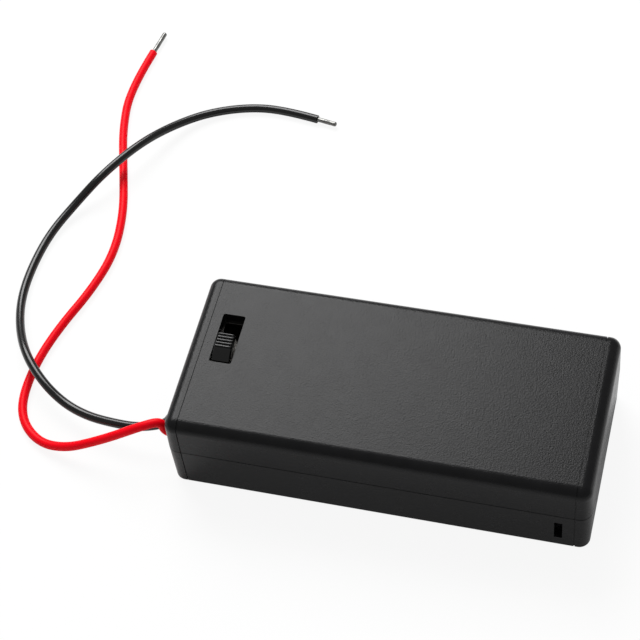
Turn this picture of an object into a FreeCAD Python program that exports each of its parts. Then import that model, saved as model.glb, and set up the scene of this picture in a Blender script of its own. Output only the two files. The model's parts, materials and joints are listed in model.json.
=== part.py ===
import FreeCAD, Part
import math
import os

from FreeCAD import Vector

# Closed battery box for two AAA cells side by side, with a slide switch and two flying leads.
# Millimetres. +X runs from the lead end to the far end, +Y to the back, +Z up.
# The box lies on its clip-on cover, so the cover is below and the tray with the switch above.

# Cells and the room round them
CELL_DIAMETER = 10.5
CELL_LENGTH = 44.5
CELL_SIDE_ROOM = 0.9
CELL_HEAD_ROOM = 0.85
CONTACT_ROOM = 6.0

# Moulded walls
WALL = 1.5
DIVIDER = 1.2
PARTITION = 1.2
SWITCH_ROOM_LENGTH = 9.3
SPLIT_HEIGHT = 8.5
SPLIT_GAP = 0.15
DRAFT_DEGREES = 1.0
CORNER_RADIUS = 1.8
INSIDE_CORNER = 0.4
TOP_ROUND = 1.65
BOTTOM_ROUND = 0.6
INSIDE_ROUND = 0.35
PARTITION_FOOT = 4.6
COVER_CLEARANCE = 0.3

# Rim joint between tray and cover
RIM_THICKNESS = 0.55
RIM_DEPTH = 1.2
RIM_CLEARANCE = 0.15

# Parting lines of the moulds near both ends
SEAM_FROM_END = 2.3
SEAM_WIDTH = 0.16
SEAM_DEPTH = 0.14

# Cradle ribs for the cells and low stiffening ribs in the cover
CRADLE_CLEARANCE = 0.15
CRADLE_THICKNESS = 1.2
CRADLES_PER_BAY = 3
CRADLE_PITCH = 13.0
FIRST_CRADLE = 12.5
COVER_RIB_HEIGHT = 0.5
COVER_RIB_THICKNESS = 1.0
COVER_RIBS = 4
COVER_RIB_PITCH = 12.0

# Clip latches on both long sides, near the far end
LATCH_FROM_END = 4.7
LATCH_WIDTH = 5.0
LATCH_THICKNESS = 0.7
LATCH_GAP = 0.15
LATCH_FOOT = 2.2
LATCH_ROOT_HEIGHT = 2.6
LATCH_NOSE_DEPTH = 0.1
LATCH_NOSE_ROOM = 0.15
SLOT_WIDTH = 1.2
SLOT_BOTTOM = 2.4
SLOT_HEIGHT = 4.2

# Slide switch: window, knob and travel
WINDOW_WIDTH = 3.5
WINDOW_LENGTH = 8.9
WINDOW_ROUND = 0.35
WINDOW_FROM_END = 5.7
WINDOW_FROM_SIDE = 11.7
SWITCH_PAD = 0.5
PAD_MARGIN = 0.6
KNOB_WIDTH = 2.7
KNOB_LENGTH = 4.5
KNOB_END_GAP = 0.2
KNOB_PROUD = 1.3
KNOB_FRONT_DROP = 1.1
KNOB_RAMP = 1.7
KNOB_RAMP_BULGE = 0.17
KNOB_RIBS = 5
KNOB_RIB_PITCH = 0.55
KNOB_RIB_HEIGHT = 0.28
KNOB_RIB_WIDTH = 0.3
KNOB_RIB_MARGIN = 0.15
NECK_INSET = 0.2
CARRIER_THICKNESS = 1.0
CARRIER_OVERHANG = 0.8
SWITCH_CLEARANCE = 0.2

# Slide switch: folded steel frame, insulating board, terminals and moving contact
FRAME_SHEET = 0.4
FRAME_LENGTH = 12.6
FRAME_WIDTH = 5.6
FRAME_HEIGHT = 4.5
FRAME_EAR = 3.3
FRAME_EAR_WIDTH = 4.0
FRAME_SLOT_MARGIN = 0.15
FRAME_TAB_WIDTH = 1.6
FRAME_TAB_REACH = 0.7
FRAME_TAB_SPREAD = 4.0
PEG_DIAMETER = 1.6
PEG_CLEARANCE = 0.05
PEG_FROM_END = 1.7
PEG_HEAD_DIAMETER = 2.6
PEG_HEAD_HEIGHT = 0.7
BOARD_THICKNESS = 0.8
TERMINALS = 3
TERMINAL_PITCH = 4.0
TERMINAL_SHEET = 0.4
TERMINAL_WIDTH = 1.4
TERMINAL_DROP = 3.0
TERMINAL_HEAD = 2.2
TERMINAL_HEAD_HEIGHT = 0.3
CONTACT_SHEET = 0.25
CONTACT_WIDTH = 2.6
CONTACT_TOUCH = 0.12
CONTACT_FLAT = 1.2

# Cell contacts
PLATE_SHEET = 0.4
PLATE_WIDTH = 9.0
PLATE_TOP_ROOM = 0.9
PLATE_FOOT = 4.2
LINK_FOOT = 3.4
LINK_STANDOFF = 0.25
PLATE_CORNER = 0.8
DIMPLE_RADIUS = 2.2
DIMPLE_HEIGHT = 0.7
TAB_WIDTH = 2.6
TAB_LENGTH = 3.6
RAIL_THICKNESS = 0.6
RAIL_DEPTH = 1.1
RAIL_LIP = 0.5
RAIL_CLEARANCE = 0.05
SPRING_WIRE = 0.6
SPRING_LENGTH = 6.2
SPRING_TURNS = 3
SPRING_BASE_RADIUS = 3.5
SPRING_TIP_RADIUS = 2.6
SPRING_SEAT_GAP = 0.03
CLOSED_COIL_GAP = 0.06
POINTS_PER_TURN = 5

# Leads: PVC insulated wire, tinned at the free ends
LEAD_DIAMETER = 1.45
LEAD_CLEARANCE = 0.15
LEAD_BELOW_SPLIT = 1.4
RED_LEAD_Y = -10.4
BLACK_LEAD_Y = -7.3
TIP_DIAMETER = 0.8
RED_TIP_LENGTH = 5.0
BLACK_TIP_LENGTH = 3.6
REST = 0.75

# Solder joints, and how the wires inside run up to them
SOLDER_RADIUS = 1.15
SOLDER_STANDOFF = 0.3
SOLDER_FROM_TAB_END = 0.05
INSULATION_SHORT = 0.6
WIRE_GAP = 0.05
WIRE_BELOW_SOLDER = 0.2
JOINT_RUN = 3.0
RED_TAIL_STRAIGHT = 1.6
RED_TAIL_BOW = 0.6
RED_TAIL_STEP = 2.6
BLACK_TAIL_STRAIGHT = 0.8
BLACK_TAIL_DIP = 2.3
JUMPER_BOW = 1.2
JUMPER_SAG = 0.5

# How far a cutting body reaches past the surface that it opens
CUT_MARGIN = 1.0

# Sizes that follow from the ones above
BAY_WIDTH = CELL_DIAMETER + 2 * CELL_SIDE_ROOM
BAY_LENGTH = CELL_LENGTH + CONTACT_ROOM
BOX_LENGTH = 2 * WALL + SWITCH_ROOM_LENGTH + PARTITION + BAY_LENGTH
BOX_WIDTH = 2 * WALL + 2 * BAY_WIDTH + DIVIDER
BOX_HEIGHT = 2 * WALL + CELL_DIAMETER + 2 * CELL_HEAD_ROOM
LEAD_END = -BOX_LENGTH / 2
FAR_END = BOX_LENGTH / 2
SIDE = BOX_WIDTH / 2
INNER_LEAD_END = LEAD_END + WALL
INNER_FAR_END = FAR_END - WALL
INNER_SIDE = SIDE - WALL
CEILING = BOX_HEIGHT - WALL
FLOOR = WALL
CELL_AXIS = FLOOR + CELL_HEAD_ROOM + CELL_DIAMETER / 2
BAY_START = INNER_FAR_END - BAY_LENGTH
BAY_CENTRE = DIVIDER / 2 + BAY_WIDTH / 2
TRAY_BASE = SPLIT_HEIGHT + SPLIT_GAP / 2
COVER_TOP = SPLIT_HEIGHT - SPLIT_GAP / 2
LEAD_HEIGHT = SPLIT_HEIGHT - LEAD_BELOW_SPLIT
SWITCH_X = LEAD_END + WINDOW_FROM_END
SWITCH_Y = SIDE - WINDOW_FROM_SIDE
SEAT = CEILING - SWITCH_PAD
FRAME_UNDERSIDE = SEAT - FRAME_SHEET
BOARD_BOTTOM = SEAT - FRAME_HEIGHT + FRAME_SHEET
BOARD_TOP = BOARD_BOTTOM + BOARD_THICKNESS
KNOB_FRONT = SWITCH_Y - WINDOW_LENGTH / 2 + KNOB_END_GAP
KNOB_TRAVEL = WINDOW_LENGTH - KNOB_LENGTH - 2 * KNOB_END_GAP
KNOB_CENTRE = KNOB_FRONT + KNOB_LENGTH / 2
CARRIER_TOP = FRAME_UNDERSIDE - SWITCH_CLEARANCE
CARRIER_BOTTOM = CARRIER_TOP - CARRIER_THICKNESS
PLATE_TOP = CEILING - PLATE_TOP_ROOM
LINK_FACE = INNER_FAR_END - LINK_STANDOFF - PLATE_SHEET
TAB_TOP = PARTITION_FOOT
TAB_END = BAY_START - PARTITION - (TAB_LENGTH - PARTITION)
WIRE_ON_TAB = TAB_TOP + LEAD_DIAMETER / 2 + WIRE_GAP
WIRE_ON_BLADE = BOARD_BOTTOM - TERMINAL_DROP + LEAD_DIAMETER / 2
WIRE_BESIDE_BLADE = TERMINAL_SHEET / 2 + LEAD_DIAMETER / 2 + WIRE_GAP
SOLDER_X = TAB_END + SOLDER_RADIUS + SOLDER_FROM_TAB_END
LATCH_X = FAR_END - LATCH_FROM_END

# Routes of the free leads, chosen by hand: out of the notch, down, then along the surface.
# X and Y count from the notch at the end wall's outer face, Z from the surface.
RED_STEPS = [
    (0.0, 0.0, LEAD_HEIGHT),
    (-1.6, 0.0, LEAD_HEIGHT),
    (-2.0, 0.5, 9.2),
    (-5.2, -1.0, 8.8),
    (-9.0, -1.8, 6.6),
    (-13.2, -2.4, 4.2),
    (-17.6, -2.9, 2.1),
    (-22.2, -2.2, 0.9),
    (-26.0, 0.7, REST),
    (-27.9, 5.1, REST),
    (-27.9, 12.4, REST),
    (-26.3, 19.8, REST),
    (-23.5, 27.8, REST),
    (-22.0, 35.8, REST),
    (-23.0, 44.5, REST),
    (-25.6, 52.9, REST),
    (-28.8, 62.7, REST),
    (-30.1, 71.9, REST),
    (-28.6, 81.0, REST),
]
BLACK_STEPS = [
    (0.0, 0.0, LEAD_HEIGHT),
    (-1.4, 0.0, LEAD_HEIGHT),
    (-2.3, -0.6, 5.2),
    (-6.6, -1.6, 4.4),
    (-11.3, -1.2, 3.8),
    (-15.8, -0.3, 3.1),
    (-20.2, 1.4, 2.9),
    (-24.4, 4.0, 3.8),
    (-28.7, 8.4, 3.9),
    (-32.3, 14.6, 2.2),
    (-34.5, 21.3, 0.9),
    (-35.0, 28.1, REST),
    (-34.0, 35.1, REST),
    (-31.4, 41.2, 1.6),
    (-27.8, 46.6, 3.9),
    (-23.6, 54.1, 3.9),
    (-19.6, 60.9, 1.9),
    (-14.2, 65.8, 0.9),
    (-7.0, 68.3, REST),
    (-0.6, 68.3, REST),
    (4.5, 67.4, REST),
]
RED_ROUTE = [(LEAD_END + x, RED_LEAD_Y + y, z) for x, y, z in RED_STEPS]
BLACK_ROUTE = [(LEAD_END + x, BLACK_LEAD_Y + y, z) for x, y, z in BLACK_STEPS]


def box(low, high):
    """Block between two opposite corners."""
    size = [high[i] - low[i] for i in range(3)]
    return Part.makeBox(size[0], size[1], size[2], Vector(*low))


def rounded_rectangle(length, width, radius, z):
    """Closed wire, centred on the Z axis at height z, with arcs at its four corners."""
    x = length / 2
    y = width / 2
    k = radius * math.sin(math.radians(45))
    centres = [(x - radius, y - radius), (radius - x, y - radius)]
    centres += [(radius - x, radius - y), (x - radius, radius - y)]
    signs = [(1, 1), (-1, 1), (-1, -1), (1, -1)]
    arcs = []
    for (cx, cy), (sx, sy) in zip(centres, signs):
        first = Vector(cx + sx * radius, cy, z)
        middle = Vector(cx + sx * k, cy + sy * k, z)
        last = Vector(cx, cy + sy * radius, z)
        ends = (first, middle, last) if sx * sy > 0 else (last, middle, first)
        arcs.append(Part.Arc(*ends).toShape())
    edges = []
    for i, arc in enumerate(arcs):
        following = arcs[(i + 1) % len(arcs)]
        edges.append(arc)
        edges.append(Part.makeLine(arc.lastVertex(True).Point, following.firstVertex(True).Point))
    return Part.Wire(edges)


def edges_at(shape, z):
    """Edges that lie flat at height z."""
    found = []
    for edge in shape.Edges:
        bounds = edge.BoundBox
        if abs(bounds.ZMin - z) < 1e-4 and abs(bounds.ZMax - z) < 1e-4:
            found.append(edge)
    return found


def drafted_block(z_wide, z_narrow, inset, edge_round):
    """Solid of the box's outline, drawn in by inset, tapering by the draft and rounded at the narrow end."""
    taper = abs(z_narrow - z_wide) * math.tan(math.radians(DRAFT_DEGREES))
    corner = CORNER_RADIUS - inset
    wide = rounded_rectangle(BOX_LENGTH - 2 * inset, BOX_WIDTH - 2 * inset, corner, z_wide)
    shrink = 2 * (inset + taper)
    narrow = rounded_rectangle(BOX_LENGTH - shrink, BOX_WIDTH - shrink, corner - taper, z_narrow)
    block = Part.makeLoft([wide, narrow], True, True)
    radius = min(edge_round, corner - taper - 0.02)
    return block.makeFillet(radius, edges_at(block, z_narrow))


def straight_block(z_low, z_high, inset):
    """Upright prism of the box's outline drawn in by inset."""
    radius = max(CORNER_RADIUS - inset, INSIDE_CORNER)
    wire = rounded_rectangle(BOX_LENGTH - 2 * inset, BOX_WIDTH - 2 * inset, radius, z_low)
    return Part.Face(wire).extrude(Vector(0, 0, z_high - z_low))


def tray_block(inset):
    return drafted_block(TRAY_BASE, BOX_HEIGHT - inset, inset, TOP_ROUND - inset)


def cover_block(inset):
    return drafted_block(COVER_TOP, inset, inset, BOTTOM_ROUND - inset)


def seams(block):
    """Thin grooves round the body near both ends, cut to a small depth below its skin."""
    core = block(SEAM_DEPTH)
    rings = []
    for x in (LEAD_END + SEAM_FROM_END, FAR_END - SEAM_FROM_END):
        low = (x - SEAM_WIDTH / 2, -BOX_WIDTH, -CUT_MARGIN)
        high = (x + SEAM_WIDTH / 2, BOX_WIDTH, BOX_HEIGHT + CUT_MARGIN)
        rings.append(box(low, high).cut(core))
    return rings


def cell_cylinder(side):
    """Space of one cell with the clearance that the cradles leave it."""
    radius = CELL_DIAMETER / 2 + CRADLE_CLEARANCE
    start = Vector(BAY_START, side * BAY_CENTRE, CELL_AXIS)
    return Part.makeCylinder(radius, BAY_LENGTH, start, Vector(1, 0, 0))


def cradles(side):
    """Curved ribs that hold one cell sideways, from the ceiling to the split."""
    y = side * BAY_CENTRE
    ribs = []
    for i in range(CRADLES_PER_BAY):
        x = BAY_START + FIRST_CRADLE + i * CRADLE_PITCH
        low = (x - CRADLE_THICKNESS / 2, y - BAY_WIDTH / 2, TRAY_BASE)
        high = (x + CRADLE_THICKNESS / 2, y + BAY_WIDTH / 2, CEILING)
        ribs.append(box(low, high).cut(cell_cylinder(side)))
    return ribs


def plate_rails(side):
    """Two L-shaped rails on the partition that hold a contact plate by its edges."""
    y = side * BAY_CENTRE
    rails = []
    for hand in (-1, 1):
        edge = y + hand * (PLATE_WIDTH / 2 + RAIL_CLEARANCE)
        outer = edge + hand * RAIL_THICKNESS
        lip = y + hand * (PLATE_WIDTH / 2 - RAIL_LIP)
        low_y, high_y = sorted((edge, outer))
        rails.append(box((BAY_START, low_y, PARTITION_FOOT), (BAY_START + RAIL_DEPTH, high_y, CEILING)))
        low_y, high_y = sorted((lip, outer))
        front = BAY_START + PLATE_SHEET + RAIL_CLEARANCE
        rails.append(box((front, low_y, PARTITION_FOOT), (BAY_START + RAIL_DEPTH, high_y, CEILING)))
    return rails


def link_rails():
    """Seat pads behind the link plate and rails in front of its outer edges."""
    half = BAY_CENTRE + PLATE_WIDTH / 2
    parts = []
    for hand in (-1, 1):
        edge = hand * (half + RAIL_CLEARANCE)
        outer = hand * INNER_SIDE
        lip = hand * (half - RAIL_LIP)
        low_y, high_y = sorted((edge, outer))
        parts.append(box((LINK_FACE - RAIL_DEPTH + PLATE_SHEET, low_y, TRAY_BASE), (INNER_FAR_END, high_y, CEILING)))
        low_y, high_y = sorted((lip, outer))
        front = LINK_FACE - RAIL_CLEARANCE
        parts.append(box((LINK_FACE - RAIL_DEPTH + PLATE_SHEET, low_y, TRAY_BASE), (front, high_y, CEILING)))
        pad_y = hand * BAY_CENTRE
        low = (INNER_FAR_END - LINK_STANDOFF, pad_y - TAB_WIDTH / 2, TRAY_BASE)
        high = (INNER_FAR_END, pad_y + TAB_WIDTH / 2, CEILING)
        parts.append(box(low, high))
    return parts


def latch(side):
    """Springy tongue that reaches down inside the cover, with a small nose behind the slot."""
    outer = side * (INNER_SIDE - LATCH_GAP)
    inner = outer - side * LATCH_THICKNESS
    low_y, high_y = sorted((outer, inner))
    left = LATCH_X - LATCH_WIDTH / 2
    right = LATCH_X + LATCH_WIDTH / 2
    tongue = box((left, low_y, LATCH_FOOT), (right, high_y, TRAY_BASE + LATCH_ROOT_HEIGHT))
    low_y, high_y = sorted((side * INNER_SIDE, inner))
    root = box((left, low_y, TRAY_BASE), (right, high_y, TRAY_BASE + LATCH_ROOT_HEIGHT))
    nose_edge = outer + side * LATCH_NOSE_DEPTH
    low_y, high_y = sorted((outer, nose_edge))
    half = SLOT_WIDTH / 2 - LATCH_NOSE_ROOM
    nose_low = (LATCH_X - half, low_y, SLOT_BOTTOM + LATCH_NOSE_ROOM)
    nose_high = (LATCH_X + half, high_y, SLOT_BOTTOM + SLOT_HEIGHT - LATCH_NOSE_ROOM)
    return [tongue, root, box(nose_low, nose_high)]


def rim():
    """Tongue of the tray that drops inside the cover, open where the leads pass."""
    outside = straight_block(TRAY_BASE - RIM_DEPTH, TRAY_BASE, WALL - RIM_THICKNESS)
    inside = straight_block(TRAY_BASE - RIM_DEPTH, TRAY_BASE, WALL)
    room = LEAD_DIAMETER / 2 + LEAD_CLEARANCE + COVER_CLEARANCE
    low = (LEAD_END, RED_LEAD_Y - room, TRAY_BASE - RIM_DEPTH)
    high = (INNER_LEAD_END + WALL, BLACK_LEAD_Y + room, TRAY_BASE)
    return outside.cut(inside).cut(box(low, high))


def window():
    """Rounded opening over the switch knob."""
    wire = rounded_rectangle(WINDOW_WIDTH, WINDOW_LENGTH, WINDOW_ROUND, SEAT - WALL)
    hole = Part.Face(wire).extrude(Vector(0, 0, BOX_HEIGHT))
    hole.translate(Vector(SWITCH_X, SWITCH_Y, 0))
    return hole


def peg_centres():
    reach = FRAME_LENGTH / 2 + PEG_FROM_END
    return [Vector(SWITCH_X, SWITCH_Y - reach, 0), Vector(SWITCH_X, SWITCH_Y + reach, 0)]


def switch_seat():
    """Raised pad round the window and two pegs whose melted heads hold the switch frame."""
    half_x = FRAME_WIDTH / 2 + PAD_MARGIN
    half_y = FRAME_LENGTH / 2 + FRAME_EAR + PAD_MARGIN
    low = (SWITCH_X - half_x, SWITCH_Y - half_y, SEAT)
    high = (SWITCH_X + half_x, SWITCH_Y + half_y, CEILING)
    parts = [box(low, high)]
    for centre in peg_centres():
        foot = Vector(centre.x, centre.y, FRAME_UNDERSIDE)
        parts.append(Part.makeCylinder(PEG_DIAMETER / 2, FRAME_SHEET, foot))
        neck = Vector(centre.x, centre.y, FRAME_UNDERSIDE - PEG_HEAD_HEIGHT)
        head = Part.makeCone(PEG_DIAMETER / 2, PEG_HEAD_DIAMETER / 2, PEG_HEAD_HEIGHT, neck)
        parts.append(head)
    return parts


def make_tray():
    """Upper shell: walls, bays, partition, cradles, rails, switch seat and latches in one moulding."""
    shell = tray_block(0)
    cavity = straight_block(TRAY_BASE, CEILING, WALL)
    cavity = cavity.makeFillet(INSIDE_ROUND, edges_at(cavity, CEILING))
    shell = shell.cut(cavity)
    side = INNER_SIDE
    below = INNER_SIDE - COVER_CLEARANCE
    back = BAY_START - PARTITION
    parts = [box((back, -side, TRAY_BASE), (BAY_START, side, CEILING))]
    parts.append(box((back, -below, PARTITION_FOOT), (BAY_START, below, TRAY_BASE)))
    divider_end = LINK_FACE - RAIL_CLEARANCE
    parts.append(box((back, -DIVIDER / 2, PARTITION_FOOT), (divider_end, DIVIDER / 2, CEILING)))
    parts.append(rim())
    parts += switch_seat()
    parts += link_rails()
    for hand in (-1, 1):
        parts += cradles(hand)
        parts += plate_rails(hand)
        parts += latch(hand)
    tray = shell.fuse(parts)
    tray = tray.cut([window()] + seams(tray_block))
    return tray.removeSplitter()


def lead_notch(y):
    """U-shaped notch in the cover's end wall, open at the split."""
    radius = LEAD_DIAMETER / 2 + LEAD_CLEARANCE
    start = Vector(LEAD_END - CUT_MARGIN, y, LEAD_HEIGHT)
    bottom = Part.makeCylinder(radius, WALL + 2 * CUT_MARGIN, start, Vector(1, 0, 0))
    low = (LEAD_END - CUT_MARGIN, y - radius, LEAD_HEIGHT)
    high = (INNER_LEAD_END + CUT_MARGIN, y + radius, SPLIT_HEIGHT + CUT_MARGIN)
    return bottom.fuse(box(low, high))


def make_cover():
    """Lower shell: shallow lid with a stepped rim, lead notches, latch slots and low ribs."""
    cover = cover_block(0)
    cavity = straight_block(FLOOR, COVER_TOP, WALL)
    cavity = cavity.makeFillet(INSIDE_ROUND, edges_at(cavity, FLOOR))
    step_base = TRAY_BASE - RIM_DEPTH - RIM_CLEARANCE
    step = straight_block(step_base, COVER_TOP, WALL - RIM_THICKNESS - RIM_CLEARANCE)
    cover = cover.cut([cavity, step])
    ribs = []
    for i in range(COVER_RIBS):
        x = BAY_START + COVER_RIB_PITCH * (i + 0.5)
        low = (x - COVER_RIB_THICKNESS / 2, -INNER_SIDE, FLOOR)
        high = (x + COVER_RIB_THICKNESS / 2, INNER_SIDE, FLOOR + COVER_RIB_HEIGHT)
        ribs.append(box(low, high))
    cover = cover.fuse(ribs)
    cuts = [lead_notch(RED_LEAD_Y), lead_notch(BLACK_LEAD_Y)] + seams(cover_block)
    for side in (-1, 1):
        low_y, high_y = sorted((side * (INNER_SIDE - CUT_MARGIN), side * (SIDE + CUT_MARGIN)))
        low = (LATCH_X - SLOT_WIDTH / 2, low_y, SLOT_BOTTOM)
        high = (LATCH_X + SLOT_WIDTH / 2, high_y, SLOT_BOTTOM + SLOT_HEIGHT)
        cuts.append(box(low, high))
    return cover.cut(cuts).removeSplitter()


def neck_limits():
    """Lowest and highest Y that the knob's neck reaches over its travel."""
    low = KNOB_FRONT + NECK_INSET
    high = KNOB_FRONT + KNOB_LENGTH - NECK_INSET + KNOB_TRAVEL
    return low, high


def make_switch_frame():
    """Folded steel frame: top plate with ears and slot, two side skirts, tabs under the board."""
    half_x = FRAME_WIDTH / 2
    half_y = FRAME_LENGTH / 2
    bottom = BOARD_BOTTOM - FRAME_SHEET
    top = box(
        (SWITCH_X - half_x, SWITCH_Y - half_y, FRAME_UNDERSIDE),
        (SWITCH_X + half_x, SWITCH_Y + half_y, SEAT),
    )
    ears = box(
        (SWITCH_X - FRAME_EAR_WIDTH / 2, SWITCH_Y - half_y - FRAME_EAR, FRAME_UNDERSIDE),
        (SWITCH_X + FRAME_EAR_WIDTH / 2, SWITCH_Y + half_y + FRAME_EAR, SEAT),
    )
    parts = [ears]
    for hand in (-1, 1):
        outer = SWITCH_X + hand * half_x
        inner = outer - hand * FRAME_SHEET
        low_x, high_x = sorted((outer, inner))
        parts.append(box((low_x, SWITCH_Y - half_y, BOARD_BOTTOM), (high_x, SWITCH_Y + half_y, SEAT)))
        for end in (-1, 1):
            y = SWITCH_Y + end * FRAME_TAB_SPREAD
            reach = inner - hand * FRAME_TAB_REACH
            low_x, high_x = sorted((outer, reach))
            low = (low_x, y - FRAME_TAB_WIDTH / 2, bottom)
            high = (high_x, y + FRAME_TAB_WIDTH / 2, BOARD_BOTTOM)
            parts.append(box(low, high))
    frame = top.fuse(parts)
    low, high = neck_limits()
    slot_x = KNOB_WIDTH / 2 + SWITCH_CLEARANCE
    slot = box(
        (SWITCH_X - slot_x, low - FRAME_SLOT_MARGIN, FRAME_UNDERSIDE - CUT_MARGIN),
        (SWITCH_X + slot_x, high + FRAME_SLOT_MARGIN, SEAT + CUT_MARGIN),
    )
    holes = []
    for centre in peg_centres():
        foot = Vector(centre.x, centre.y, FRAME_UNDERSIDE - CUT_MARGIN)
        holes.append(Part.makeCylinder(PEG_DIAMETER / 2 + PEG_CLEARANCE, FRAME_SHEET + 2 * CUT_MARGIN, foot))
    return frame.cut([slot] + holes).removeSplitter()


def terminal_y(index):
    return SWITCH_Y + (index - (TERMINALS - 1) / 2) * TERMINAL_PITCH


def make_terminal(index):
    """Blade through the board with a flat head on top of it."""
    y = terminal_y(index)
    blade = box(
        (SWITCH_X - TERMINAL_SHEET / 2, y - TERMINAL_WIDTH / 2, BOARD_BOTTOM - TERMINAL_DROP),
        (SWITCH_X + TERMINAL_SHEET / 2, y + TERMINAL_WIDTH / 2, BOARD_TOP),
    )
    half = TERMINAL_HEAD / 2
    head = box(
        (SWITCH_X - half, y - half, BOARD_TOP),
        (SWITCH_X + half, y + half, BOARD_TOP + TERMINAL_HEAD_HEIGHT),
    )
    rounded = head.makeFillet(TERMINAL_HEAD_HEIGHT / 2, edges_at(head, BOARD_TOP + TERMINAL_HEAD_HEIGHT))
    return blade.fuse(rounded).removeSplitter()


def make_switch_board():
    """Insulating board that closes the frame from below and carries the terminals."""
    half_x = FRAME_WIDTH / 2 - FRAME_SHEET
    half_y = FRAME_LENGTH / 2
    board = box(
        (SWITCH_X - half_x, SWITCH_Y - half_y, BOARD_BOTTOM),
        (SWITCH_X + half_x, SWITCH_Y + half_y, BOARD_TOP),
    )
    slots = []
    for i in range(TERMINALS):
        y = terminal_y(i)
        low = (SWITCH_X - TERMINAL_SHEET / 2, y - TERMINAL_WIDTH / 2, BOARD_BOTTOM - CUT_MARGIN)
        high = (SWITCH_X + TERMINAL_SHEET / 2, y + TERMINAL_WIDTH / 2, BOARD_TOP + CUT_MARGIN)
        slots.append(box(low, high))
    return board.cut(slots)


def knob_profile():
    """Side view of the knob's cap: upright back, flat ribbed top and a ramp down to the front."""
    base = SEAT + SWITCH_CLEARANCE
    crown = BOX_HEIGHT + KNOB_PROUD - KNOB_RIB_HEIGHT
    back = KNOB_FRONT + KNOB_LENGTH
    shoulder = Vector(0, KNOB_FRONT, crown - KNOB_FRONT_DROP)
    crest = Vector(0, KNOB_FRONT + KNOB_RAMP, crown)
    bulge = (shoulder + crest) * 0.5 + Vector(0, 0, KNOB_RAMP_BULGE)
    ramp = Part.Arc(shoulder, bulge, crest).toShape()
    corners = [crest, Vector(0, back, crown), Vector(0, back, base), Vector(0, KNOB_FRONT, base), shoulder]
    sides = [Part.makeLine(corners[i], corners[i + 1]) for i in range(len(corners) - 1)]
    return Part.Face(Part.Wire([ramp] + sides))


def knob_ribs():
    """Small wedge-shaped grip ribs across the top of the knob."""
    crown = BOX_HEIGHT + KNOB_PROUD - KNOB_RIB_HEIGHT
    half_x = KNOB_WIDTH / 2 - KNOB_RIB_MARGIN
    last = KNOB_FRONT + KNOB_LENGTH - KNOB_RIB_WIDTH
    ribs = []
    for i in range(KNOB_RIBS):
        y = last - i * KNOB_RIB_PITCH
        foot = Vector(SWITCH_X - half_x, y - KNOB_RIB_WIDTH / 2, crown)
        tip = Vector(SWITCH_X - half_x, y, crown + KNOB_RIB_HEIGHT)
        heel = Vector(SWITCH_X - half_x, y + KNOB_RIB_WIDTH / 2, crown)
        face = Part.Face(Part.makePolygon([foot, tip, heel, foot]))
        ribs.append(face.extrude(Vector(2 * half_x, 0, 0)))
    return ribs


def make_switch_knob():
    """Sliding knob: ribbed cap in the window, neck through the frame and carrier plate below it."""
    cap = knob_profile().extrude(Vector(KNOB_WIDTH, 0, 0))
    cap.translate(Vector(SWITCH_X - KNOB_WIDTH / 2, 0, 0))
    neck = box(
        (SWITCH_X - KNOB_WIDTH / 2, KNOB_FRONT + NECK_INSET, CARRIER_TOP),
        (SWITCH_X + KNOB_WIDTH / 2, KNOB_FRONT + KNOB_LENGTH - NECK_INSET, SEAT + SWITCH_CLEARANCE),
    )
    half_x = FRAME_WIDTH / 2 - FRAME_SHEET - SWITCH_CLEARANCE
    carrier = box(
        (SWITCH_X - half_x, KNOB_FRONT - CARRIER_OVERHANG, CARRIER_BOTTOM),
        (SWITCH_X + half_x, KNOB_FRONT + KNOB_LENGTH + CARRIER_OVERHANG, CARRIER_TOP),
    )
    return cap.fuse([neck, carrier] + knob_ribs()).removeSplitter()


def make_switch_contact():
    """Springy bridge under the carrier that joins two neighbouring terminals."""
    top = CARRIER_BOTTOM
    touch = BOARD_TOP + TERMINAL_HEAD_HEIGHT + CONTACT_TOUCH
    half = TERMINAL_PITCH / 2
    levels = [
        (-half - CONTACT_FLAT / 2, touch + CONTACT_SHEET),
        (-half - CONTACT_FLAT / 4, touch),
        (-half + CONTACT_FLAT / 4, touch),
        (-CONTACT_FLAT / 2, top - CONTACT_SHEET),
        (CONTACT_FLAT / 2, top - CONTACT_SHEET),
        (half - CONTACT_FLAT / 4, touch),
        (half + CONTACT_FLAT / 4, touch),
        (half + CONTACT_FLAT / 2, touch + CONTACT_SHEET),
    ]
    lower = [Vector(0, KNOB_CENTRE + y, z) for y, z in levels]
    upper = [Vector(0, p.y, p.z + CONTACT_SHEET) for p in reversed(lower)]
    outline = Part.makePolygon(lower + upper + [lower[0]])
    strip = Part.Face(outline).extrude(Vector(CONTACT_WIDTH, 0, 0))
    strip.translate(Vector(SWITCH_X - CONTACT_WIDTH / 2, 0, 0))
    return strip


def upright_plate(x, y, width, foot):
    """Sheet metal plate across the bay with rounded corners."""
    plate = box((x, y - width / 2, foot), (x + PLATE_SHEET, y + width / 2, PLATE_TOP))
    corners = []
    for edge in plate.Edges:
        bounds = edge.BoundBox
        if bounds.YLength < 1e-6 and bounds.ZLength < 1e-6 and bounds.ZMin > foot + 1e-6:
            corners.append(edge)
    return plate.makeFillet(PLATE_CORNER, corners)


def dimple(x, y, direction):
    """Pressed button that touches the cell's positive pole."""
    rise = DIMPLE_HEIGHT
    sphere_radius = (DIMPLE_RADIUS ** 2 + rise ** 2) / (2 * rise)
    centre = Vector(x - direction * (sphere_radius - rise), y, CELL_AXIS)
    ball = Part.makeSphere(sphere_radius, centre)
    low_x, high_x = sorted((x, x + direction * sphere_radius))
    keep = box(
        (low_x, y - sphere_radius, CELL_AXIS - sphere_radius),
        (high_x, y + sphere_radius, CELL_AXIS + sphere_radius),
    )
    return ball.common(keep)


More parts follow.
